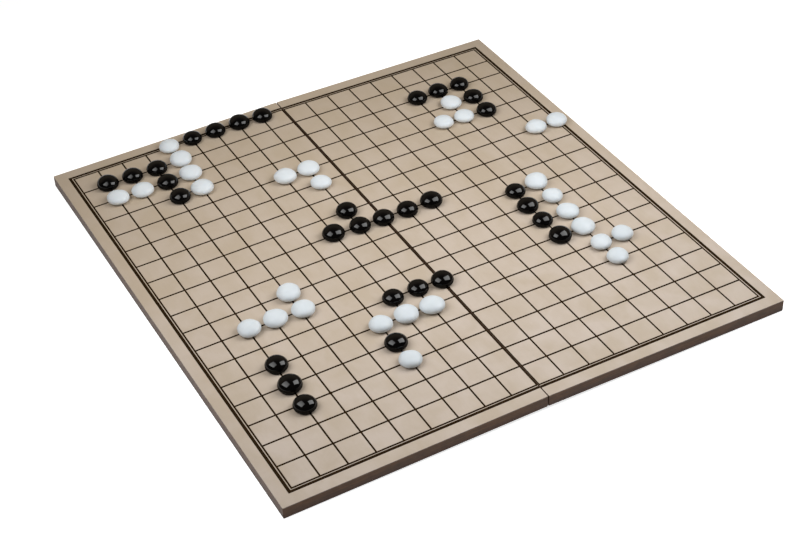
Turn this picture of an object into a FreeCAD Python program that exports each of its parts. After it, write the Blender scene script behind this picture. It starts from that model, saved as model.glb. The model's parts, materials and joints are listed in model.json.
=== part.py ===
# A folding go board, open, with a game of glass stones laid out on it.
#
# Two thin slabs meet in a butt seam under the tenth line and swing on two butt hinges let into the
# underside, so the board folds with its undersides together. Each slab is a fibreboard core in a mitred
# hardwood lipping, with a maple face that carries the inlaid grid and a dark backing sheet. The hinge
# knuckles stand proud of the underside, so the open board rests on them and on its two outer edges, and
# each half droops a little from the seam.
#
# Units are millimetres. X runs across the seam, Y along it, Z up from the table. The origin is on the
# table under the middle of the board. SIDES gives each half its sign along X. Each half is drawn level,
# with its underside at height 0, and settle() then lowers it on to the table.

import FreeCAD
import Part
import math
import os

Vector = FreeCAD.Vector
Z_AXIS = Vector(0, 0, 1)
Y_AXIS = Vector(0, 1, 0)
SIDES = {"left": -1, "right": 1}

# --- the playing grid ------------------------------------------------------------------------------
LINES = 19
MIDDLE_LINE = (LINES - 1) // 2
CELL_X = 22.0                # line spacing across the seam
CELL_Y = 23.7                # line spacing along the seam, the longer side of a go board's cell
ACROSS_LINE_W = 1.6          # lines that cross the seam
ALONG_LINE_W = 1.42          # lines that run beside it
SEAM_LINE_W = 1.1            # half of the tenth line, along each half's seam edge
FRAME_W = 2.5                # thick line that frames the grid
FRAME_OFFSET = 2.6           # first line's centre to the frame line's centre
STAR_R = 1.5
STAR_LINES = (3, 9, 15)
INK_DEPTH = 0.15
GRID_SHIFT_Y = {"left": 0.2, "right": -0.25}  # the two faces were printed a little out of step

# --- the two slabs ---------------------------------------------------------------------------------
MARGIN_X = 13.65             # first line to the board's edge
MARGIN_Y = 14.2
BOARD_X = (LINES - 1) * CELL_X + 2 * MARGIN_X
BOARD_Y = (LINES - 1) * CELL_Y + 2 * MARGIN_Y
SLAB_T = 10.0
FACE_T = 0.6                 # maple face
BACK_T = 0.4                 # backing sheet
LIPPING_W = 5.0              # hardwood strip round the core
CORNER_R = 0.6               # upright corners of each half
FACE_ARRIS = 0.12            # sanded edge of the face
BACK_ARRIS = 0.3             # eased edge underneath
SEAM_GAP = 0.5
FACE_Z = SLAB_T - FACE_T

# --- butt hinges -----------------------------------------------------------------------------------
HINGE_Y = {"near": -120.0, "far": 120.0}
HINGE_L = 36.0
LEAF_T = 0.8
LEAF_REACH = 16.0            # from the pin's axis to the leaf's outer edge
LEAF_START = 1.4             # the plate stays this far from the axis, clear of the other knuckles
LEAF_CORNER_R = 2.0
KNUCKLES = 5
KNUCKLE_R = 1.35
KNUCKLE_GAP = 0.2
PIN_R = 0.75
PIN_CLEARANCE = 0.05         # running fit in the knuckles that turn
AXIS_DROP = 0.85             # the pin's axis lies this far below the underside

# The board's outer lower edges touch the table when each half has turned by this much about the pin.
REST_REACH = BOARD_X / 2 - BACK_ARRIS
REST_RADIUS = math.hypot(REST_REACH, AXIS_DROP)
DROOP = math.degrees(math.atan2(AXIS_DROP, REST_REACH) + math.asin(KNUCKLE_R / REST_RADIUS))

# --- countersunk hinge screws ----------------------------------------------------------------------
SCREW_HEAD_R = 1.8
SCREW_R = 1.0
SCREW_L = 7.0
SCREW_POINT = 1.4
SCREW_X = (6.8, 11.4, 6.8)   # from the axis; the middle screw stands out of line
SCREW_Y = (-12.5, 0.0, 12.5)
SLOT_W = 0.5
SLOT_DEPTH = 0.35

# --- glass stones: drops of glass with a flat base and a domed top -----------------------------------
STONE_D = {"black": 17.8, "white": 18.6}
STONE_LARGE = 1.05           # sizes that stand out, as a factor on the diameter
STONE_SMALL = 0.95
STONE_T = {"black": 0.52, "white": 0.46}     # thickness as a part of the diameter
STONE_WAIST = {"black": 0.34, "white": 0.42} # height of the widest circle, part of the thickness
STONE_RIM = 0.64             # radius of the shoulder above it, as a part of the rise to the crown

# Intersections are pairs of line numbers, across and along, counted from the near left corner.
LARGE = {(1, 17), (2, 4), (3, 7), (4, 8), (4, 15), (4, 16), (4, 17), (7, 5), (7, 10), (7, 14), (7, 18),
         (8, 5), (11, 10), (14, 6), (15, 6), (15, 9)}
SMALL = {(4, 18), (5, 18), (6, 3), (7, 6), (8, 6), (8, 13), (14, 7), (14, 9), (14, 14), (15, 4), (15, 5),
         (15, 8), (15, 14), (16, 5), (16, 16)}

# Stones never land square on an intersection. Each player has a habit, in cells across and along, and
# some stones lie another step or two off: (steps across, steps along) and the intersections they left.
HABIT = {"black": (-0.02, -0.12), "white": (-0.03, -0.11)}
STEP = 0.045
NUDGED = {
    (1, 0): {(4, 8), (4, 17), (7, 6), (8, 6), (8, 18)},
    (2, 0): {(4, 7)},
    (1, 1): {(2, 5), (2, 7), (3, 7), (7, 18), (14, 14), (15, 4), (15, 8)},
    (0, 1): {(1, 17), (5, 18), (6, 3), (6, 18), (15, 9), (15, 15), (15, 16), (16, 16)},
    (-1, 2): {(7, 10)},
    (-1, 0): {(14, 6), (15, 6), (15, 14), (16, 5), (18, 12)},
    (-2, 0): {(14, 8)},
    (-2, 1): {(14, 7)},
    (-1, -1): {(9, 10), (10, 10), (16, 14)},
    (0, -1): {(2, 3), (2, 16), (3, 16), (3, 17), (4, 15), (7, 14), (8, 5), (8, 13), (8, 14), (9, 6), (14, 9),
              (15, 5)},
    (1, -2): {(3, 15)},
}

# Each group is a colour, the half that carries it, and its intersections.
STONES = {
    "black_far_edge": ("black", "left", [(5, 18), (6, 18), (7, 18), (8, 18)]),
    "black_left_corner": ("black", "left", [(1, 17), (2, 17), (3, 17), (3, 16), (3, 15)]),
    "black_left_side": ("black", "left", [(2, 5), (2, 4), (2, 3)]),
    "black_centre": ("black", "left", [(7, 10), (8, 10), (8, 11), (9, 10)]),
    "black_near_centre": ("black", "left", [(7, 6), (8, 6), (9, 6), (6, 4)]),
    "black_centre_right": ("black", "right", [(10, 10), (11, 10)]),
    "black_far_corner": ("black", "right", [(14, 16), (15, 16), (16, 16), (16, 15), (16, 14)]),
    "black_right_side": ("black", "right", [(14, 9), (14, 8), (14, 7), (14, 6)]),
    "white_far_edge": ("white", "left", [(4, 18), (4, 17), (4, 16), (4, 15)]),
    "white_left_corner": ("white", "left", [(1, 16), (2, 16)]),
    "white_left_side": ("white", "left", [(2, 7), (3, 7), (4, 7), (4, 8)]),
    "white_centre": ("white", "left", [(7, 14), (8, 14), (8, 13)]),
    "white_near_centre": ("white", "left", [(6, 5), (7, 5), (8, 5), (6, 3)]),
    "white_far_corner": ("white", "right", [(15, 15), (15, 14), (14, 14)]),
    "white_right_side": ("white", "right",
                         [(15, 9), (15, 8), (15, 7), (15, 6), (15, 5), (15, 4), (16, 5)]),
    "white_right_edge": ("white", "right", [(18, 12), (17, 12)]),
}


def block(x0, x1, y0, y1, z0, z1):
    """A box between two corners, given in any order along X and Y."""
    low = Vector(min(x0, x1), min(y0, y1), z0)
    return Part.makeBox(abs(x1 - x0), abs(y1 - y0), z1 - z0, low)


def round_uprights(solid, radius):
    """Rounds the four vertical edges of a box."""
    uprights = [edge for edge in solid.Edges if abs(edge.tangentAt(edge.FirstParameter).z) > 0.99]
    return solid.makeFillet(radius, uprights)


def ease_level(solid, size, z):
    """Chamfers the outline of a solid at height z."""
    outline = [edge for edge in solid.Edges
               if all(abs(vertex.Z - z) < 1e-6 for vertex in edge.Vertexes)]
    return solid.makeChamfer(size, outline)


def slab(side, z0, z1, inset=0.0):
    """One half's outline between two heights, drawn in by inset all round."""
    seam = side * (SEAM_GAP / 2 + inset)
    outer = side * (BOARD_X / 2 - inset)
    reach = BOARD_Y / 2 - inset
    solid = block(seam, outer, -reach, reach, z0, z1)
    if inset < CORNER_R:
        solid = round_uprights(solid, CORNER_R - inset)
    return solid


# --- hinges and screws -----------------------------------------------------------------------------
def screw_blank(x, y):
    """A countersunk screw without its slot, head down and flush with the leaf."""
    outline = [(0, 0), (SCREW_HEAD_R, 0), (SCREW_R, SCREW_HEAD_R - SCREW_R),
               (SCREW_R, SCREW_L - SCREW_POINT), (0, SCREW_L), (0, 0)]
    wire = Part.makePolygon([Vector(x + r, y, z) for r, z in outline])
    return Part.Face(wire).revolve(Vector(x, y, 0), Z_AXIS, 360)


def screw_places(side):
    """Where one half's hinge screws stand."""
    return [(side * x, hinge_y + y) for hinge_y in HINGE_Y.values() for x, y in zip(SCREW_X, SCREW_Y)]


def screws(side):
    """The six screws of one half, each with a straight slot across its head."""
    made = []
    for x, y in screw_places(side):
        slot = block(x - SCREW_HEAD_R, x + SCREW_HEAD_R, y - SLOT_W / 2, y + SLOT_W / 2, 0, SLOT_DEPTH)
        made.append(screw_blank(x, y).cut(slot))
    return Part.makeCompound(made)


def knuckle_spans(side, hinge_y):
    """Start and length along Y of the knuckles that belong to one leaf."""
    pitch = HINGE_L / KNUCKLES
    first = 0 if side < 0 else 1
    start = hinge_y - HINGE_L / 2 + KNUCKLE_GAP / 2
    return [(start + k * pitch, pitch - KNUCKLE_GAP) for k in range(first, KNUCKLES, 2)]


def leaf_plate(side, hinge_y, start):
    """A leaf's flat plate, from a distance to its rounded outer corners."""
    plate = block(side * start, side * LEAF_REACH, hinge_y - HINGE_L / 2, hinge_y + HINGE_L / 2, 0, LEAF_T)
    corners = [edge for edge in plate.Edges if abs(edge.tangentAt(edge.FirstParameter).z) > 0.99
               and abs(edge.CenterOfMass.x) > LEAF_REACH - 1]
    return plate.makeFillet(LEAF_CORNER_R, corners)


def hinge_leaf(side, hinge_y):
    """One leaf: its plate, its knuckles, and the tabs that join them."""
    plate = leaf_plate(side, hinge_y, LEAF_START)
    pieces = []
    for y, length in knuckle_spans(side, hinge_y):
        pieces.append(Part.makeCylinder(KNUCKLE_R, length, Vector(0, y, -AXIS_DROP), Y_AXIS))
        pieces.append(block(0, side * LEAF_START, y, y + length, 0, LEAF_T))
    leaf = plate.multiFuse(pieces).removeSplitter()
    clearance = 0.0 if side < 0 else PIN_CLEARANCE
    bore = Part.makeCylinder(PIN_R + clearance, HINGE_L, Vector(0, hinge_y - HINGE_L / 2, -AXIS_DROP), Y_AXIS)
    holes = [screw_blank(x, y) for x, y in screw_places(side) if abs(y - hinge_y) < HINGE_L / 2]
    return leaf.cut(bore).cut(Part.makeCompound(holes))


def hinge_pin(hinge_y):
    """The pin, held in the left leaf's knuckles."""
    length = HINGE_L - KNUCKLE_GAP
    return Part.makeCylinder(PIN_R, length, Vector(0, hinge_y - length / 2, -AXIS_DROP), Y_AXIS)


def hinge_cuts(side):
    """What is cut from a half for its hinges: shallow beds for the leaves and holes for the screws."""
    beds = [leaf_plate(side, hinge_y, 0) for hinge_y in HINGE_Y.values()]
    return Part.makeCompound(beds + [screw_blank(x, y) for x, y in screw_places(side)])


# --- the slab's layers -----------------------------------------------------------------------------
def lipping(side):
    """Four hardwood strips round the core, mitred at the corners."""
    ring = slab(side, BACK_T, FACE_Z).cut(slab(side, BACK_T, FACE_Z, LIPPING_W))
    seam, outer, reach = SEAM_GAP / 2, BOARD_X / 2, BOARD_Y / 2
    outside = [(seam, -reach), (outer, -reach), (outer, reach), (seam, reach)]
    inside = [(seam + LIPPING_W, -reach + LIPPING_W), (outer - LIPPING_W, -reach + LIPPING_W),
              (outer - LIPPING_W, reach - LIPPING_W), (seam + LIPPING_W, reach - LIPPING_W)]
    strips = []
    for k in range(4):
        n = (k + 1) % 4
        corners = [outside[k], outside[n], inside[n], inside[k], outside[k]]
        wire = Part.makePolygon([Vector(side * x, y, BACK_T) for x, y in corners])
        wedge = Part.Face(wire).extrude(Vector(0, 0, FACE_Z - BACK_T))
        strips.append(ring.common(wedge))
    return Part.makeCompound(strips)


def grid_ink(side, name):
    """The inlaid lines of one half: grid, seam line, frame and star points."""
    shift = GRID_SHIFT_Y[name]
    seam = side * SEAM_GAP / 2
    last = MIDDLE_LINE * CELL_X
    end = MIDDLE_LINE * CELL_Y
    frame_x = last + FRAME_OFFSET
    frame_y = end + FRAME_OFFSET
    z0, z1 = SLAB_T - INK_DEPTH, SLAB_T
    strokes = []

    def across(y, x_end, width):
        strokes.append(block(seam, side * x_end, y + shift - width / 2, y + shift + width / 2, z0, z1))

    def along(x, y_end, width):
        strokes.append(block(x - width / 2, x + width / 2, shift - y_end, shift + y_end, z0, z1))

    for line in range(LINES):
        across((line - MIDDLE_LINE) * CELL_Y, last + ALONG_LINE_W / 2, ACROSS_LINE_W)
    for line in range(1, MIDDLE_LINE + 1):
        along(side * line * CELL_X, end + ACROSS_LINE_W / 2, ALONG_LINE_W)
    along(seam + side * SEAM_LINE_W / 2, end + ACROSS_LINE_W / 2, SEAM_LINE_W)
    for y in (-frame_y, frame_y):
        across(y, frame_x + FRAME_W / 2, FRAME_W)
    along(side * frame_x, frame_y + FRAME_W / 2, FRAME_W)
    for i in STAR_LINES:
        for j in STAR_LINES:
            x = (i - MIDDLE_LINE) * CELL_X
            y = (j - MIDDLE_LINE) * CELL_Y + shift
            if x * side >= 0:
                strokes.append(Part.makeCylinder(STAR_R, z1 - z0, Vector(x, y, z0), Z_AXIS))
    ink = strokes[0].multiFuse(strokes[1:]).removeSplitter()
    return ink.common(slab(side, z0, z1, FACE_ARRIS))


# --- stones ----------------------------------------------------------------------------------------
def stone_size(point, colour):
    """Diameter of the stone on an intersection."""
    factor = 1.0
    if point in LARGE:
        factor = STONE_LARGE
    if point in SMALL:
        factor = STONE_SMALL
    return STONE_D[colour] * factor


def stone_place(point, colour):
    """Where the middle of a stone lies, across and along."""
    step_x = step_y = 0
    for steps, left in NUDGED.items():
        if point in left:
            step_x, step_y = steps
    i, j = point
    habit_x, habit_y = HABIT[colour]
    x = (i - MIDDLE_LINE + habit_x + STEP * step_x) * CELL_X
    y = (j - MIDDLE_LINE + habit_y + STEP * step_y) * CELL_Y
    return x, y


def stone(point, colour):
    """A drop of glass: a flat base, a rounded rim below the widest circle, a shoulder and a dome."""
    x, y = stone_place(point, colour)
    radius = stone_size(point, colour) / 2
    height = 2 * radius * STONE_T[colour]
    waist = height * STONE_WAIST[colour]
    rise = height - waist
    shoulder = rise * STONE_RIM
    throat = radius - shoulder
    dome_r = (throat ** 2 + rise ** 2 - shoulder ** 2) / (2 * (rise - shoulder))
    lean = math.atan2(throat, dome_r - rise)

    def at(r, z):
        return Vector(x + r, y, SLAB_T + z)

    def on_dome(angle):
        return at(dome_r * math.sin(angle), height - dome_r * (1 - math.cos(angle)))

    def on_circle(centre_r, r, angle):
        return at(centre_r + r * math.cos(angle), waist + r * math.sin(angle))

    base_r = radius - waist
    widest = at(radius, waist)
    under_rim = on_circle(base_r, waist, -math.pi / 4)
    over_rim = on_circle(throat, shoulder, math.pi / 4 - lean / 2)
    outline = [
        Part.makeLine(at(0, 0), at(base_r, 0)),
        Part.Arc(at(base_r, 0), under_rim, widest).toShape(),
        Part.Arc(widest, over_rim, on_dome(lean)).toShape(),
        Part.Arc(on_dome(lean), on_dome(lean / 2), at(0, height)).toShape(),
        Part.makeLine(at(0, height), at(0, 0)),
    ]
    return Part.Face(Part.Wire(outline)).revolve(Vector(x, y, 0), Z_AXIS, 360)


def settle(shape, side):
    """Turns a level half about its hinge pin until its outer edge and its knuckles stand on the table."""
    shape.rotate(Vector(0, 0, -AXIS_DROP), Y_AXIS, side * DROOP)
    shape.translate(Vector(0, 0, AXIS_DROP + KNUCKLE_R))
    return shape


def save(name, shape, side):
    """Settles one node, writes it and prints its size."""
    settle(shape, side).exportStep("parts/" + name + ".step")
    box = shape.BoundBox
    print("%-28s %2d solids  %8.1f mm3  z %6.3f to %6.3f" %
          (name, len(shape.Solids), shape.Volume, box.ZMin, box.ZMax))


def main():
    os.makedirs("parts", exist_ok=True)
    print("each half droops by %.3f degrees" % DROOP)
    for name, side in SIDES.items():
        cuts = hinge_cuts(side)
        ink = grid_ink(side, name)
        face = ease_level(slab(side, FACE_Z, SLAB_T), FACE_ARRIS, SLAB_T)
        backing = ease_level(slab(side, 0, BACK_T), BACK_ARRIS, 0)
        save("core_" + name, slab(side, BACK_T, FACE_Z, LIPPING_W).cut(cuts), side)
        save("lipping_" + name, lipping(side).cut(cuts), side)
        save("maple_face_" + name, face.cut(ink), side)
        save("grid_lines_" + name, ink, side)
        save("backing_" + name, backing.cut(cuts), side)
        save("hinge_screws_" + name, screws(side), side)
        for end, hinge_y in HINGE_Y.items():
            save("hinge_leaf_" + end + "_" + name, hinge_leaf(side, hinge_y), side)
    for end, hinge_y in HINGE_Y.items():
        save("hinge_pin_" + end, hinge_pin(hinge_y), SIDES["left"])
    for name, (colour, half, points) in STONES.items():
        save("stones_" + name, Part.makeCompound([stone(point, colour) for point in points]), SIDES[half])


main()
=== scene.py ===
# %% [markdown]
# # A folding go board with glass stones
#
# The board is two thin slabs that meet in a butt seam and fold on hinges underneath. Each slab has a maple
# face with an inlaid grid, a dark stained lipping round its sides and a dark backing. Sixty glass stones lie
# on the crossings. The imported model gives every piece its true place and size, in metres, so this script
# loads it first and then only dresses it: it adds finishes, shapes the stones finer, and sets up a studio.

# %% Load the frame
import json
import math

import bmesh
import bpy
from mathutils import Matrix, Vector

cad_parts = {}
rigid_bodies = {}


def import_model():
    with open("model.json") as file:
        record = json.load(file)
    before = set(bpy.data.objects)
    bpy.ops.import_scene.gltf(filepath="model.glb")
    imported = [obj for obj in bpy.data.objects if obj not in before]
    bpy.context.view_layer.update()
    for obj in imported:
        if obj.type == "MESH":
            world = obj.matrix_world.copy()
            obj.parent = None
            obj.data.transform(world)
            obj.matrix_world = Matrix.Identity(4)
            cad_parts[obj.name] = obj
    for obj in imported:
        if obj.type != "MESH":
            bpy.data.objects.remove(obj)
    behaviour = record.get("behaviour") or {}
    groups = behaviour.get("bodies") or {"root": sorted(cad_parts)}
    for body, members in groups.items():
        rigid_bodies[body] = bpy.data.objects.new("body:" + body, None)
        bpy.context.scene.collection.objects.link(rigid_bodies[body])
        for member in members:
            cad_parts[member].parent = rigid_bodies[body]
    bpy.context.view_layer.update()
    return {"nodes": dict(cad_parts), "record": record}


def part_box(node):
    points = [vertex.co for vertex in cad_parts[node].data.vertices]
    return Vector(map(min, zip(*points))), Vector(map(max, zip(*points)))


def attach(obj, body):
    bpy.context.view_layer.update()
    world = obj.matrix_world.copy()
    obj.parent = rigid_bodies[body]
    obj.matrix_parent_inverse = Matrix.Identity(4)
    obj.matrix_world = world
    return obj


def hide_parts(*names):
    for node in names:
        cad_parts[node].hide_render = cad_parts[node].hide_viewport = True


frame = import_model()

nodes = frame["nodes"]
bodies = frame["record"]["behaviour"]["bodies"]
print("nodes:", len(nodes), "bodies:", ", ".join(bodies))

# %% [markdown]
# ## The camera
#
# A camera is placed by where it stands and three turns: its heading over the table, how far it dips below
# the level, and a small roll. Turning a matrix by each angle in that order is easier to check than typing
# Euler angles, because each turn can be read on its own. The lens is a mild telephoto, so the far side of
# the board narrows only a little.

# %% Camera
CAMERA_AT = Vector((-0.5028, -0.9969, 0.8572))
CAMERA_HEADING = math.radians(27.024)  # from +Y towards +X
CAMERA_DIP = math.radians(38.369)
CAMERA_ROLL = math.radians(2.808)      # right side down
CAMERA_LENS = 77.01                    # mm, on a 36 mm wide sensor


def add_camera():
    """Makes the scene's camera."""
    data = bpy.data.cameras.new("camera")
    data.lens = CAMERA_LENS
    data.sensor_width = 36.0
    data.clip_start = 0.05
    camera = bpy.data.objects.new("camera", data)
    turn = (Matrix.Rotation(-CAMERA_HEADING, 4, "Z") @ Matrix.Rotation(math.pi / 2 - CAMERA_DIP, 4, "X")
            @ Matrix.Rotation(-CAMERA_ROLL, 4, "Z"))
    camera.matrix_world = Matrix.Translation(CAMERA_AT) @ turn
    bpy.context.scene.collection.objects.link(camera)
    bpy.context.scene.camera = camera
    return camera


camera = add_camera()
print("camera looks along", tuple(round(x, 3) for x in camera.matrix_world.to_3x3() @ Vector((0, 0, -1))))

# %% [markdown]
# ## A small language for node networks
#
# A finish is a network of nodes, and so is a shape made by Geometry Nodes, and most of either is arithmetic.
# Typed out node by node it hides what it means. So one small class holds a node's output and lets Python's
# own operators add the Math nodes: `1 - mask * 0.5` then reads as what it does. Every other kind of node
# comes from one method, `add`, which takes the node's type, its settings and the values or links of its
# sockets.


# %% Values and networks
class Value:
    """The output of a node. Arithmetic on it adds Math nodes to its network."""

    def __init__(self, net, socket):
        self.net = net
        self.socket = socket

    def math(self, operation, first, second=0.0):
        return self.net.add("ShaderNodeMath", {"operation": operation}, {0: first, 1: second})

    def __add__(self, other):
        return self.math("ADD", self, other)

    def __radd__(self, other):
        return self.math("ADD", other, self)

    def __sub__(self, other):
        return self.math("SUBTRACT", self, other)

    def __rsub__(self, other):
        return self.math("SUBTRACT", other, self)

    def __mul__(self, other):
        return self.math("MULTIPLY", self, other)

    def __rmul__(self, other):
        return self.math("MULTIPLY", other, self)

    def __truediv__(self, other):
        return self.math("DIVIDE", self, other)

    def __rtruediv__(self, other):
        return self.math("DIVIDE", other, self)

    def __pow__(self, other):
        return self.math("POWER", self, other)

    def __lt__(self, other):
        return self.math("LESS_THAN", self, other)

    def __gt__(self, other):
        return self.math("GREATER_THAN", self, other)

    def __abs__(self):
        return self.math("ABSOLUTE", self)

    def least(self, other):
        """The smaller of two values."""
        return self.math("MINIMUM", self, other)


class Network:
    """A tree of nodes and the one way to add to it."""

    def __init__(self, tree):
        self.tree = tree

    def fill(self, socket, given):
        """Links a value to a socket, or sets the socket's own number, colour or vector."""
        if isinstance(given, Value):
            self.tree.links.new(given.socket, socket)
        elif socket.type == "RGBA":
            socket.default_value = (*given, 1.0)
        else:
            socket.default_value = given

    def add(self, kind, settings=None, sockets=None, out=0):
        """Adds any node, sets it, fills its sockets, and returns one of its outputs."""
        node = self.tree.nodes.new(kind)
        for name, setting in (settings or {}).items():
            if name == "stops":
                self.set_stops(node.color_ramp, setting)
            else:
                setattr(node, name, setting)
        for name, given in (sockets or {}).items():
            self.fill(node.inputs[name], given)
        return Value(self, node.outputs[out]) if len(node.outputs) else None

    @staticmethod
    def set_stops(ramp, stops):
        """Gives a colour ramp its stops, each a place and a grey level."""
        while len(ramp.elements) > 1:
            ramp.elements.remove(ramp.elements[-1])
        for k, (place, grey) in enumerate(stops):
            element = ramp.elements[0] if k == 0 else ramp.elements.new(place)
            element.position = place
            element.color = (grey, grey, grey, 1.0)

    def vector(self, operation, first, second=(0, 0, 0)):
        return self.add("ShaderNodeVectorMath", {"operation": operation}, {0: first, 1: second})

    def axes(self, vector):
        """The three numbers of a vector."""
        split = self.add("ShaderNodeSeparateXYZ", None, {0: vector})
        return [Value(self, output) for output in split.socket.node.outputs]

    def noise(self, place, scale=(1, 1, 1), detail=2.0, roughness=0.5, distortion=0.0, out=0):
        """A noise whose features are one unit over scale long, along each axis."""
        sockets = {"Vector": self.vector("MULTIPLY", place, scale), "Scale": 1.0, "Detail": detail,
                   "Roughness": roughness, "Distortion": distortion}
        return self.add("ShaderNodeTexNoise", None, sockets, out)

    def ramp(self, value, *stops):
        """Bends a value by a ramp of (place, level) stops."""
        return self.add("ShaderNodeValToRGB", {"stops": stops}, {"Fac": value})

    def mix(self, factor, first, second):
        """Blends two colours."""
        return self.add("ShaderNodeMix", {"data_type": "RGBA"}, {"Factor": factor, 6: first, 7: second}, 2)


RAMP_SHIFT = 0.5  # metres: a ramp reads only 0 to 1, and no point of the board is as far from its middle


class Finish(Network):
    """The network of one surface finish."""

    def __init__(self, name):
        self.material = bpy.data.materials.new(name)
        self.material.use_nodes = True
        super().__init__(self.material.node_tree)
        self.tree.nodes.clear()

    def coordinates(self, output="Object"):
        return self.add("ShaderNodeTexCoord", out=output)

    def towards_far(self, place, start, end):
        """0 up to one distance along Y, then rising to 1 at another; both in metres from the middle."""
        along = self.axes(place)[1] + RAMP_SHIFT
        return self.ramp(along, (start + RAMP_SHIFT, 0.0), (end + RAMP_SHIFT, 1.0))

    def bump(self, height, depth):
        """Turns a height, from 0 to 1, into a normal; depth is in metres."""
        return self.add("ShaderNodeBump", None, {"Height": height, "Distance": depth})

    def close(self, **sockets):
        """Ends the network in a Principled shader with these sockets, their underscores read as spaces."""
        named = {name.replace("_", " "): given for name, given in sockets.items()}
        shader = self.add("ShaderNodeBsdfPrincipled", None, named)
        self.add("ShaderNodeOutputMaterial", None, {"Surface": shader})
        return self.material


def tell_finishes(*materials):
    """Prints how large the network of each finish is."""
    for material in materials:
        print(material.name, "is a network of", len(material.node_tree.nodes), "nodes")


MM = 0.001
print("one millimetre is", MM, "in the frame's units")

# %% [markdown]
# ## Maple face
#
# Maple veneer is pale and quiet. Its figure is a soft drift between pale and deeper cream, then faint streaks
# along the grain, and close up, short brown flecks finer than a hair. Towards the far edge the cream turns a
# little yellower, and the near part stays paler and cooler: that is painted sheen, the lacquer's gloss of the
# lamps laid into the colour. Stretching a noise along one axis turns it into grain: the same texture is sampled
# closely across the grain and slowly along it. The sawn edge of the sheet and its small bevel were stained
# together with the lipping, so a mask from the surface's own direction darkens everything that doesn't face up.

# %% Maple finish
MAPLE_PALE = (0.578, 0.496, 0.425)
MAPLE_DEEP = (0.516, 0.432, 0.343)
# the colour of the far part, where the painted sheen has faded
MAPLE_FAR_UNSHEENED = (0.590, 0.461, 0.307)
MAPLE_FLECK = (0.40, 0.285, 0.19)
STAIN = (0.118, 0.074, 0.053)


def maple_finish():
    """Pale veneer under satin lacquer, with its edge stained."""
    net = Finish("maple_face")
    place = net.coordinates()
    drift = net.noise(place, (46, 34, 46), detail=3.0, roughness=0.55, distortion=0.4)
    drift = net.ramp(drift, (0.34, 0.0), (0.66, 1.0))
    cream = net.mix(drift, MAPLE_DEEP, MAPLE_PALE)
    # painted sheen: paler and cooler near the front, yellower towards the far edge, as the lacquer's sheen
    # would show
    painted_sheen_fade = net.towards_far(place, -0.16, 0.20)
    cream = net.mix(painted_sheen_fade * 0.48, cream, MAPLE_FAR_UNSHEENED)
    streaks = net.noise(place, (520, 9, 520), detail=4.0, roughness=0.62, distortion=0.3)
    streaks = net.ramp(streaks, (0.40, 0.0), (0.72, 1.0))
    grained = net.mix(streaks * 0.05, cream, MAPLE_FLECK)
    flecks = net.noise(place, (5200, 380, 5200), detail=1.0)
    flecks = net.ramp(flecks, (0.66, 0.0), (0.76, 1.0))
    flecked = net.mix(flecks * 0.22, grained, MAPLE_FLECK)
    facing = net.axes(net.coordinates("Normal"))[2]
    on_top = net.ramp(facing, (0.80, 0.0), (0.95, 1.0))
    colour = net.mix(on_top, STAIN, flecked)
    lacquer = 0.46 + streaks * 0.06 - drift * 0.05
    height = net.noise(place, (1500, 60, 1500), detail=3.0)
    return net.close(Base_Color=colour, Roughness=lacquer, Normal=net.bump(height, 0.02 * MM),
                     Specular_IOR_Level=0.4)


maple_face = maple_finish()
tell_finishes(maple_face)


# %% [markdown]
# ## Ink
#
# The lines are printed in a brown-black ink that sinks a little into the wood, so it is never quite even:
# where the veneer is dense, the ink lies thinner and browner. One fine noise blends the two.

# %% Ink finish
INK_DENSE = (0.015, 0.007, 0.001)
INK_THIN = (0.068, 0.034, 0.010)


def ink_finish():
    """Brown-black ink in the inlaid lines."""
    net = Finish("line_ink")
    place = net.coordinates()
    thin = net.noise(place, (900, 500, 900), detail=3.0, roughness=0.6)
    thin = net.ramp(thin, (0.45, 0.0), (0.75, 1.0))
    colour = net.mix(thin * 0.55, INK_DENSE, INK_THIN)
    return net.close(Base_Color=colour, Roughness=0.62 + thin * 0.2,
                     Normal=net.bump(thin, 0.01 * MM), Specular_IOR_Level=0.08)


line_ink = ink_finish()
tell_finishes(line_ink)


# %% [markdown]
# ## Stained lipping
#
# The strip round each half is a plain hardwood, stained nearly black-brown and left satin. Its grain has to
# run along every strip, and the four strips of a frame run two ways. A strip is nearer to its own side than
# to the next one, so comparing the two distances tells which way it runs, mitres included, and the
# coordinates swap there. Towards its foot the strip is darker: that is painted shade, where the board meets the
# table. Each half leans from the seam down to its outer edge, so the height over the foot is measured along
# that slope.

# %% Lipping finish
LIPPING_LIGHT = (0.122, 0.055, 0.022)
LIPPING_DARK = (0.046, 0.020, 0.008)
# painted shade: the colour the strip is darkened towards at its foot, where the board meets the table
LIPPING_FOOT_SHADE = (0.020, 0.009, 0.005)
LEAN = 0.0104           # how much a half falls from the seam outwards, as a slope
FOOT_FROM = 3.2 * MM    # up to this height, as it is at the seam, the painted shade at the foot is at its darkest
FOOT_TO = 6.8 * MM      # and from this height up, the strip has its own colour
FOOT_SHADE_SHARE = 0.5
lipping_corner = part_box("lipping_right")[1]
BOARD_HALF_X = lipping_corner.x
BOARD_HALF_Y = lipping_corner.y


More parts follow.
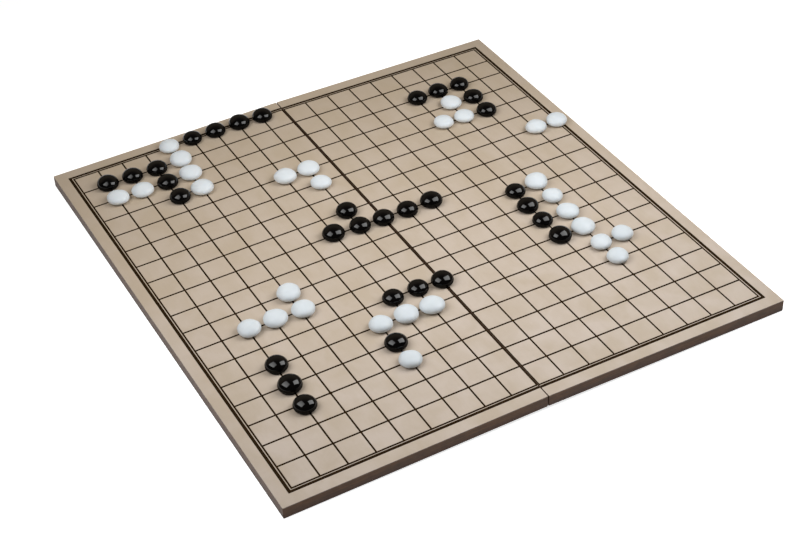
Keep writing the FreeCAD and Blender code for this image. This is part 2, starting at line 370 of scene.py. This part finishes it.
def lipping_finish():
    """Dark stained hardwood whose grain follows each strip."""
    net = Finish("stained_lipping")
    place = net.coordinates()
    x, y, z = net.axes(place)
    to_long_side = (BOARD_HALF_X - abs(x)).least(abs(x))
    to_short_side = BOARD_HALF_Y - abs(y)
    runs_along_y = to_long_side < to_short_side
    along_x = net.vector("MULTIPLY", place, (18, 700, 700))
    along_y = net.vector("MULTIPLY", place, (700, 18, 700))
    grain_place = net.add("ShaderNodeMix", {"data_type": "VECTOR"},
                          {"Factor": runs_along_y, 4: along_x, 5: along_y}, 1)
    grain = net.noise(grain_place, detail=5.0, roughness=0.62, distortion=0.25)
    grain = net.ramp(grain, (0.30, 0.0), (0.70, 1.0))
    blotch = net.noise(place, (85, 85, 160), detail=3.0, roughness=0.6)
    blotch = net.ramp(blotch, (0.35, 0.0), (0.68, 1.0))
    colour = net.mix(grain * 0.6 + blotch * 0.4, LIPPING_DARK, LIPPING_LIGHT)
    # painted shade: darker towards the foot of the strip, where the board meets the table
    above_foot_shade = net.ramp(z + abs(x) * LEAN, (FOOT_FROM, 0.0), (FOOT_TO, 1.0))
    colour = net.mix(FOOT_SHADE_SHARE - above_foot_shade * FOOT_SHADE_SHARE, colour, LIPPING_FOOT_SHADE)
    return net.close(Base_Color=colour, Roughness=0.50 + grain * 0.1,
                     Normal=net.bump(grain, 0.05 * MM), Specular_IOR_Level=0.26)


stained_lipping = lipping_finish()
tell_finishes(stained_lipping)


# %% [markdown]
# ## Backing and core
#
# The underside is covered with a dark resin paper, matt and slightly fibrous, which keeps the thin slab from
# warping. Inside is fibreboard. Both are pressed fibre, so both are a fine noise with no direction, one
# nearly black and one cardboard brown.

# %% Pressed fibre finishes
def fibre_finish(name, dark, light, scale, roughness):
    """Pressed fibre: a fine speckle with no direction."""
    net = Finish(name)
    place = net.coordinates()
    speckle = net.noise(place, (scale, scale, scale), detail=5.0, roughness=0.7)
    speckle = net.ramp(speckle, (0.32, 0.0), (0.70, 1.0))
    cloud = net.noise(place, (30, 30, 30), detail=2.0)
    colour = net.mix(speckle * 0.7 + cloud * 0.3, dark, light)
    return net.close(Base_Color=colour, Roughness=roughness + speckle * 0.08,
                     Normal=net.bump(speckle, 0.05 * MM))


fibreboard = fibre_finish("fibreboard", (0.20, 0.135, 0.085), (0.40, 0.29, 0.19), 1500, 0.85)
backing_sheet = fibre_finish("backing_sheet", (0.012, 0.009, 0.008), (0.040, 0.031, 0.026), 1900, 0.62)
tell_finishes(fibreboard, backing_sheet)


# %% [markdown]
# ## Brass and steel
#
# The hinge leaves are rolled brass, brushed along their length, with a dull film where fingers never rub
# them. The pins and the screws are the same idea with other numbers, so one function makes all three. The
# brushing is again a noise stretched along one axis, and it drives both the roughness and a very shallow
# bump.

# %% Metal finishes
BRASS = ((0.80, 0.60, 0.28), (0.48, 0.34, 0.16))
STEEL = ((0.62, 0.61, 0.59), (0.36, 0.35, 0.34))


def metal_finish(name, bright, dull, brushing, roughness):
    """Brushed metal with a dull film in patches."""
    net = Finish(name)
    place = net.coordinates()
    brushed = net.noise(place, brushing, detail=4.0, roughness=0.65)
    film = net.noise(place, (140, 140, 140), detail=4.0, roughness=0.6)
    film = net.ramp(film, (0.42, 0.0), (0.70, 1.0))
    colour = net.mix(film * 0.6, bright, dull)
    return net.close(Base_Color=colour, Metallic=1.0, Roughness=roughness + brushed * 0.16 + film * 0.1,
                     Normal=net.bump(brushed, 0.02 * MM))


hinge_brass = metal_finish("hinge_brass", *BRASS, (2400, 90, 2400), 0.26)
screw_brass = metal_finish("screw_brass", *BRASS, (2600, 2600, 300), 0.22)
pin_steel = metal_finish("pin_steel", *STEEL, (2400, 60, 2400), 0.24)
tell_finishes(hinge_brass, screw_brass, pin_steel)


# %% [markdown]
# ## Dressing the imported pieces
#
# The slabs, lines and hinges already have their true shape, so they keep their meshes and only get their
# finish. A node's name says what it is, so the finish is found by how the name begins.

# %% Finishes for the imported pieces
finishes = {
    "core_": fibreboard,
    "lipping_": stained_lipping,
    "maple_face_": maple_face,
    "grid_lines_": line_ink,
    "backing_": backing_sheet,
    "hinge_leaf_": hinge_brass,
    "hinge_screws_": screw_brass,
    "hinge_pin_": pin_steel,
}
dressed = 0
for name, node in nodes.items():
    for start, finish in finishes.items():
        if name.startswith(start):
            node.data.materials.clear()
            node.data.materials.append(finish)
            dressed += 1
print("dressed", dressed, "packed pieces")

# %% [markdown]
# ## Glass for the stones
#
# Both glasses are opaque, so nothing has to be traced through them. The black is so deep that it shows only
# as gloss. The white is milk glass: light enters a little way and comes back cool and even, which subsurface
# scattering gives. A slow swirl blends two shades of each glass, and towards the far edge both drift to a
# third one. In the white that third shade is paler, which is painted light: it makes up for the lamps' light
# falling off towards the far stones. A drop is fire-polished on its dome and stays dull round its foot,
# where it met the plate. So the gloss is a clear coat over a dull body, and its weight follows how far the
# surface faces up.

# %% Glass finishes


def glass_finish(name, deep, pale, far, polish, foot, gloss, dull, milk):
    """Opaque glass with a polished dome; gloss is the coat's roughness and foot its weight at the rim."""
    net = Finish(name)
    place = net.coordinates()
    swirl = net.noise(place, (110, 110, 160), detail=2.0, distortion=0.8)
    swirl = net.ramp(swirl, (0.35, 0.0), (0.68, 1.0))
    body = net.mix(swirl, deep, pale)
    # painted light: towards the far edge the glass drifts to its far shade, paler in the white
    body = net.mix(net.towards_far(place, -0.14, 0.22), body, far)
    pits = net.noise(place, (2600, 2600, 2600), detail=1.0)
    pits = net.ramp(pits, (0.76, 0.0), (0.84, 1.0))
    dome = net.ramp(net.axes(net.coordinates("Normal"))[2], (0.20, foot), (0.46, 1.0))
    return net.close(Base_Color=body, Roughness=0.55, Specular_IOR_Level=dull,
                     Normal=net.bump(pits, 0.01 * MM), Coat_Weight=dome * polish, Coat_Roughness=gloss,
                     Subsurface_Weight=milk, Subsurface_Radius=(0.8, 0.9, 1.0), Subsurface_Scale=1.6 * MM)


black_glass = glass_finish("black_glass", (0.0014, 0.0011, 0.0011), (0.0026, 0.0020, 0.0018),
                           (0.0020, 0.0016, 0.0015), polish=0.81, foot=0.3, gloss=0.06, dull=0.0, milk=0.0)
# the white's far shade is paler: painted light for the far stones, which get less from the lamps
white_glass = glass_finish("white_glass", (0.646, 0.700, 0.735), (0.680, 0.732, 0.768),
                           (0.846, 0.896, 0.926), polish=0.40, foot=0.0, gloss=0.34, dull=0.12, milk=0.25)
tell_finishes(black_glass, white_glass)

# %% [markdown]
# ## Where each stone sits
#
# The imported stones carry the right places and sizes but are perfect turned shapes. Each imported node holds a
# few stones, so the first step is to take a node's mesh apart into its loose shells. A half of the board
# leans a little from the seam, and its stones lean with it. Turned back by that lean, a stone's box gives
# its centre, its width and its height.

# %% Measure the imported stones
MERGE = 0.001 * MM
FACE_THICKNESS = 0.6 * MM


def lean_of(half):
    """How far a half leans about Y, from the box of its thin flat face."""
    low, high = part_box("maple_face_" + half)
    fall = high.z - low.z - FACE_THICKNESS
    side = 1 if half == "right" else -1
    return side * math.asin(fall / (high.x - low.x))


def loose_shells(node):
    """The points of each separate shell in a node's mesh."""
    mesh = bmesh.new()
    mesh.from_mesh(node.data)
    bmesh.ops.remove_doubles(mesh, verts=mesh.verts, dist=MERGE)
    shells = []
    seen = set()
    for first in mesh.verts:
        if first in seen:
            continue
        seen.add(first)
        front = [first]
        points = []
        while front:
            vertex = front.pop()
            points.append(vertex.co.copy())
            fresh = [other for edge in vertex.link_edges for other in edge.verts if other not in seen]
            seen.update(fresh)
            front.extend(fresh)
        shells.append(points)
    mesh.free()
    return shells


def seats(names, lean):
    """For each stone of these nodes, the middle of its base and its width and height."""
    level = Matrix.Rotation(-lean, 3, "Y")
    found = []
    for name in names:
        for points in loose_shells(nodes[name]):
            flat = [level @ point for point in points]
            low = Vector([min(p[k] for p in flat) for k in range(3)])
            high = Vector([max(p[k] for p in flat) for k in range(3)])
            base = Vector(((low.x + high.x) / 2, (low.y + high.y) / 2, low.z))
            found.append((level.inverted() @ base, high.x - low.x, high.z - low.z))
    return found


leans = {half: lean_of(half) for half in ("left", "right")}
stone_bodies = [body for body in bodies if "stones" in body]
places = {body: seats(bodies[body], leans[body.split("_")[-1]]) for body in stone_bodies}
for body, found in places.items():
    widths = [width / MM for _, width, _ in found]
    print(body, len(found), "stones, %.1f to %.1f mm across" % (min(widths), max(widths)))

# %% [markdown]
# ## The stones
#
# A stone is a drop of glass that settled on a plate: domed above, full at the waist, and pressed flat below.
# One Geometry Nodes tree makes them all. It starts from a finely divided cube, because pushed out to a ball
# that has no poles to pinch the reflections. The ball is pulled into a drop by one rule: in every direction
# a point goes out until its width and height, each raised to a power, add up to one. A power of two gives
# the round dome, and a high power gives the flat base. The drop is then set on every seat, turned at random,
# made a little oval, and pushed about by a slow noise, since no two drops of glass are the same.


# %% A tree that makes drops of glass
class ShapeTree(Network):
    """A Geometry Nodes tree with named inputs."""

    def __init__(self, name, inputs):
        super().__init__(bpy.data.node_groups.new(name, "GeometryNodeTree"))
        face = self.tree.interface
        face.new_socket("Geometry", in_out="INPUT", socket_type="NodeSocketGeometry")
        face.new_socket("Geometry", in_out="OUTPUT", socket_type="NodeSocketGeometry")
        self.ids = {label: face.new_socket(label, in_out="INPUT", socket_type="NodeSocket" + kind).identifier
                    for label, kind in inputs.items()}
        self.inputs = self.tree.nodes.new("NodeGroupInput").outputs

    def given(self, label):
        """One of the tree's own inputs."""
        return Value(self, self.inputs[label])

    def attribute(self, name):
        """A number stored under a name on each point."""
        return self.add("GeometryNodeInputNamedAttribute", {"data_type": "FLOAT"}, {"Name": name})

    def combine(self, x, y, z):
        return self.add("ShaderNodeCombineXYZ", None, {0: x, 1: y, 2: z})

    def chance(self, low, high, salt):
        """A random number for each point, from low to high."""
        return self.add("FunctionNodeRandomValue", {"data_type": "FLOAT"},
                        {2: low, 3: high, "Seed": self.given("Seed") + salt}, 1)

    def turn(self, x, y, z):
        """A rotation by three angles."""
        return self.add("FunctionNodeEulerToRotation", None, {0: self.combine(x, y, z)})

    def close(self, geometry):
        self.add("NodeGroupOutput", None, {0: geometry})
        return self


def unit_drop(tree):
    """A drop one unit wide and one unit high that stands on the origin, with its height stored as rise."""
    count = tree.given("Facets")
    cube = tree.add("GeometryNodeMeshCube", None,
                    {"Size": (2, 2, 2), "Vertices X": count, "Vertices Y": count, "Vertices Z": count})
    outward = tree.vector("NORMALIZE", tree.add("GeometryNodeInputPosition"))
    x, y, z = tree.axes(outward)
    crown, base, waist = tree.given("Crown power"), tree.given("Base power"), tree.given("Waist")
    above = z > 0.0
    power = base + above * (crown - base)
    across = (x * x + y * y) ** 0.5
    reach = (across ** power + abs(z) ** power) ** (-1.0 / power)
    rise = waist + z * reach * (waist + above * (1.0 - 2.0 * waist))
    drop = tree.add("GeometryNodeSetPosition", None,
                    {"Geometry": cube, "Position": tree.combine(x * reach * 0.5, y * reach * 0.5, rise)})
    return tree.add("GeometryNodeStoreNamedAttribute", {"data_type": "FLOAT", "domain": "POINT"},
                    {"Geometry": drop, "Name": "rise",
                     "Value": tree.axes(tree.add("GeometryNodeInputPosition"))[2]})


def drops_tree():
    """The tree that sets a drop of glass on every seat."""
    tree = ShapeTree("glass_drops", {
        "Facets": "Int", "Crown power": "Float", "Base power": "Float", "Waist": "Float",
        "Oval": "Float", "Wobble": "Float", "Lean": "Float", "Seed": "Int", "Glass": "Material"})
    oval = 1.0 + tree.chance(-1.0, 1.0, 1) * tree.given("Oval")
    width = tree.attribute("stone_width")
    leaning = tree.turn(0.0, tree.given("Lean"), 0.0)
    spun = tree.turn(0.0, 0.0, tree.chance(0.0, math.tau, 2))
    turned = tree.add("FunctionNodeRotateRotation", {"rotation_space": "LOCAL"}, {0: leaning, 1: spun})
    seated = tree.add("GeometryNodeInstanceOnPoints", None,
                      {"Points": tree.given("Geometry"), "Instance": unit_drop(tree), "Rotation": turned,
                       "Scale": tree.combine(width * oval, width / oval, tree.attribute("stone_height"))})
    real = tree.add("GeometryNodeRealizeInstances", None, {"Geometry": seated})
    slow = tree.noise(tree.add("GeometryNodeInputPosition"), (75, 75, 75), detail=1.0, out=1)
    shove = tree.vector("SUBTRACT", slow, (0.5, 0.5, 0.5))
    free = (tree.attribute("rise") * 3.0).least(1.0) * tree.given("Wobble") * 2.0
    pushed = tree.add("ShaderNodeVectorMath", {"operation": "SCALE"}, {0: shove, "Scale": free})
    shaped = tree.add("GeometryNodeSetPosition", None, {"Geometry": real, "Offset": pushed})
    clean = tree.add("GeometryNodeRemoveAttribute", None, {"Geometry": shaped, "Name": "rise"})
    smooth = tree.add("GeometryNodeSetShadeSmooth", None, {0: clean})
    return tree.close(tree.add("GeometryNodeSetMaterial", None,
                               {"Geometry": smooth, "Material": tree.given("Glass")}))


drops = drops_tree()
print("the tree has", len(drops.tree.nodes), "nodes")

# %% [markdown]
# ## From seats to stones
#
# A mesh of bare points carries the seats into the tree, with each stone's width and height as numbers on its
# point. The modifier's inputs are set before anything looks at the object, then the result is copied out as
# a plain mesh, one for the stones of each colour on each half, and the helper goes away. Black stones are
# pressed more truly than white ones, so they wobble less.

# %% Make the stones
STONE_KINDS = {
    "black": {"Waist": 0.34, "Crown power": 2.0, "Base power": 3.4, "Oval": 0.012, "Wobble": 0.22 * MM,
              "Glass": black_glass},
    "white": {"Waist": 0.42, "Crown power": 2.0, "Base power": 2.4, "Oval": 0.030, "Wobble": 0.75 * MM,
              "Glass": white_glass},
}
FACETS = 21


def seat_points(name, found):
    """A helper object with one point for each seat."""
    mesh = bpy.data.meshes.new(name)
    mesh.from_pydata([seat for seat, _, _ in found], [], [])
    for label, column in (("stone_width", 1), ("stone_height", 2)):
        numbers = mesh.attributes.new(label, "FLOAT", "POINT")
        numbers.data.foreach_set("value", [row[column] for row in found])
    helper = bpy.data.objects.new(name, mesh)
    bpy.context.scene.collection.objects.link(helper)
    return helper


def make_stones(body, seed):
    """The stones of one colour on one half, as one plain mesh."""
    colour, _, half = body.split("_")
    helper = seat_points(body + "_seats", places[body])
    modifier = helper.modifiers.new("drops", "NODES")
    modifier.node_group = drops.tree
    settings = {**STONE_KINDS[colour], "Facets": FACETS, "Lean": leans[half], "Seed": seed}
    for label, setting in settings.items():
        modifier[drops.ids[label]] = setting
    evaluated = helper.evaluated_get(bpy.context.evaluated_depsgraph_get())
    mesh = bpy.data.meshes.new_from_object(evaluated)
    bpy.data.objects.remove(helper)
    piece = bpy.data.objects.new(colour + "_glass_stones_" + half, mesh)
    bpy.context.scene.collection.objects.link(piece)
    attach(piece, body)
    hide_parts(*bodies[body])
    colour + " glass"
    return piece


for seed, body in enumerate(stone_bodies, start=3):
    piece = make_stones(body, seed)
    print(piece.name, len(piece.data.vertices), "points", len(piece.data.polygons), "faces")

# %% [markdown]
# ## The studio
#
# Two softboxes hang over the board, a square one at the left and an oblong one at the right, each turned and
# aimed in its own way. Polished black glass mirrors them as two small bright windows, so their size, height
# and turn matter as much as their light. A lamp's power is worked out from how bright its face should look,
# because that brightness is what the glass mirrors. Each box has a grid over its face, which Blender calls
# spread, so the light falls off towards the board's edges. The room itself is dark. Only its far wall
# catches some warm light, strongest from a little above the table to halfway overhead.

# %% Lamps and room
SOFTBOXES = {
    "softbox_left": {"at": (-0.364, -0.028, 0.555), "aim": (0.30, -0.11, 0.0), "size": (0.49, 0.49),
                     "turn": 16, "spread": 116, "glow": 5.3},
    "softbox_right": {"at": (0.297, -0.156, 0.515), "aim": (-0.30, 0.02, 0.0), "size": (0.50, 0.41),
                      "turn": 115, "spread": 145, "glow": 5.3},
}
ROOM_DARK = (0.030, 0.030, 0.031)
ROOM_WALL = (0.21, 0.175, 0.135)
WALL_LIGHT = ((0.05, 0.2), (0.30, 0.8), (0.45, 1.0), (0.70, 0.95), (0.86, 0.4), (0.95, 0.1))


def add_softbox(name, at, aim, size, turn, spread, glow):
    """A lamp turned about its own axis; glow is how bright its face looks from straight in front."""
    data = bpy.data.lights.new(name, "AREA")
    data.shape = "RECTANGLE"
    data.size, data.size_y = size
    data.spread = math.radians(spread)
    half = data.spread / 2
    gathered = math.tan(half) / (math.tan(half) - half)
    data.energy = glow * math.pi * size[0] * size[1] / gathered
    lamp = bpy.data.objects.new(name, data)
    towards = Vector(aim) - Vector(at)
    facing = towards.to_track_quat("-Z", "Y").to_matrix().to_4x4()
    lamp.matrix_world = Matrix.Translation(at) @ facing @ Matrix.Rotation(math.radians(turn), 4, "Z")
    bpy.context.scene.collection.objects.link(lamp)
    return lamp


def add_room():
    """A dark world with one paler wall on the side away from the front, lit by height as WALL_LIGHT says."""
    world = bpy.data.worlds.new("room")
    world.use_nodes = True
    net = Network(world.node_tree)
    net.tree.nodes.clear()
    x, y, z = net.axes(net.add("ShaderNodeTexCoord", out="Generated"))
    lit = net.ramp(z, *WALL_LIGHT)
    back = net.ramp(x * 0.25 + y * 0.5 + 0.5, (0.5, 0.0), (0.7, 1.0))
    shown = net.add("ShaderNodeBackground", None, {"Color": net.mix(lit * back, ROOM_DARK, ROOM_WALL)})
    net.add("ShaderNodeOutputWorld", None, {"Surface": shown})
    bpy.context.scene.world = world


for name, box in SOFTBOXES.items():
    lamp = add_softbox(name, **box)
    print(name, "%.2f W" % lamp.data.energy)
add_room()
print("the room's wall is", ROOM_WALL)

# %% [markdown]
# ## The table
#
# The table is a plain white sheet, larger than anything the camera sees. Lamps this close leave its far parts
# grey, so rays that come from the camera, or by way of a gloss, also meet a little light of its own. Light
# that bounces from it on to the board doesn't, so it stays honest, and the board's shadow still shows.

# %% White table
TABLE_REACH = 6.0
TABLE_WHITE = (0.90, 0.90, 0.90)
TABLE_SHADE = (0.86, 0.86, 0.86)
TABLE_GLOW = 0.80


def table_finish():
    """White paper that looks white in the picture and in reflections."""
    net = Finish("white_table")
    rays = [net.add("ShaderNodeLightPath", out=ray)
            for ray in ("Is Camera Ray", "Is Glossy Ray", "Is Transmission Ray")]
    seen = (rays[0] + rays[1] + rays[2]).least(1.0)
    grain = net.noise(net.coordinates(), (900, 900, 900), detail=2.0)
    level = net.mix(grain * 0.03, TABLE_WHITE, TABLE_SHADE)
    paper = net.add("ShaderNodeBsdfDiffuse", None, {"Color": level})
    glow = net.add("ShaderNodeEmission", None, {"Strength": seen * TABLE_GLOW})
    both = net.add("ShaderNodeAddShader", None, {0: paper, 1: glow})
    net.add("ShaderNodeOutputMaterial", None, {"Surface": both})
    return net.material


def add_table():
    """One large square at the height that the board stands on."""
    mesh = bpy.data.meshes.new("table")
    r = TABLE_REACH
    mesh.from_pydata([(-r, -r, 0), (r, -r, 0), (r, r, 0), (-r, r, 0)], [], [(0, 1, 2, 3)])
    mesh.materials.append(table_finish())
    table = bpy.data.objects.new("table", mesh)
    bpy.context.scene.collection.objects.link(table)
    return table


add_table()
scene = bpy.context.scene
scene.view_settings.view_transform = "Standard"
print("table laid, view transform", scene.view_settings.view_transform)
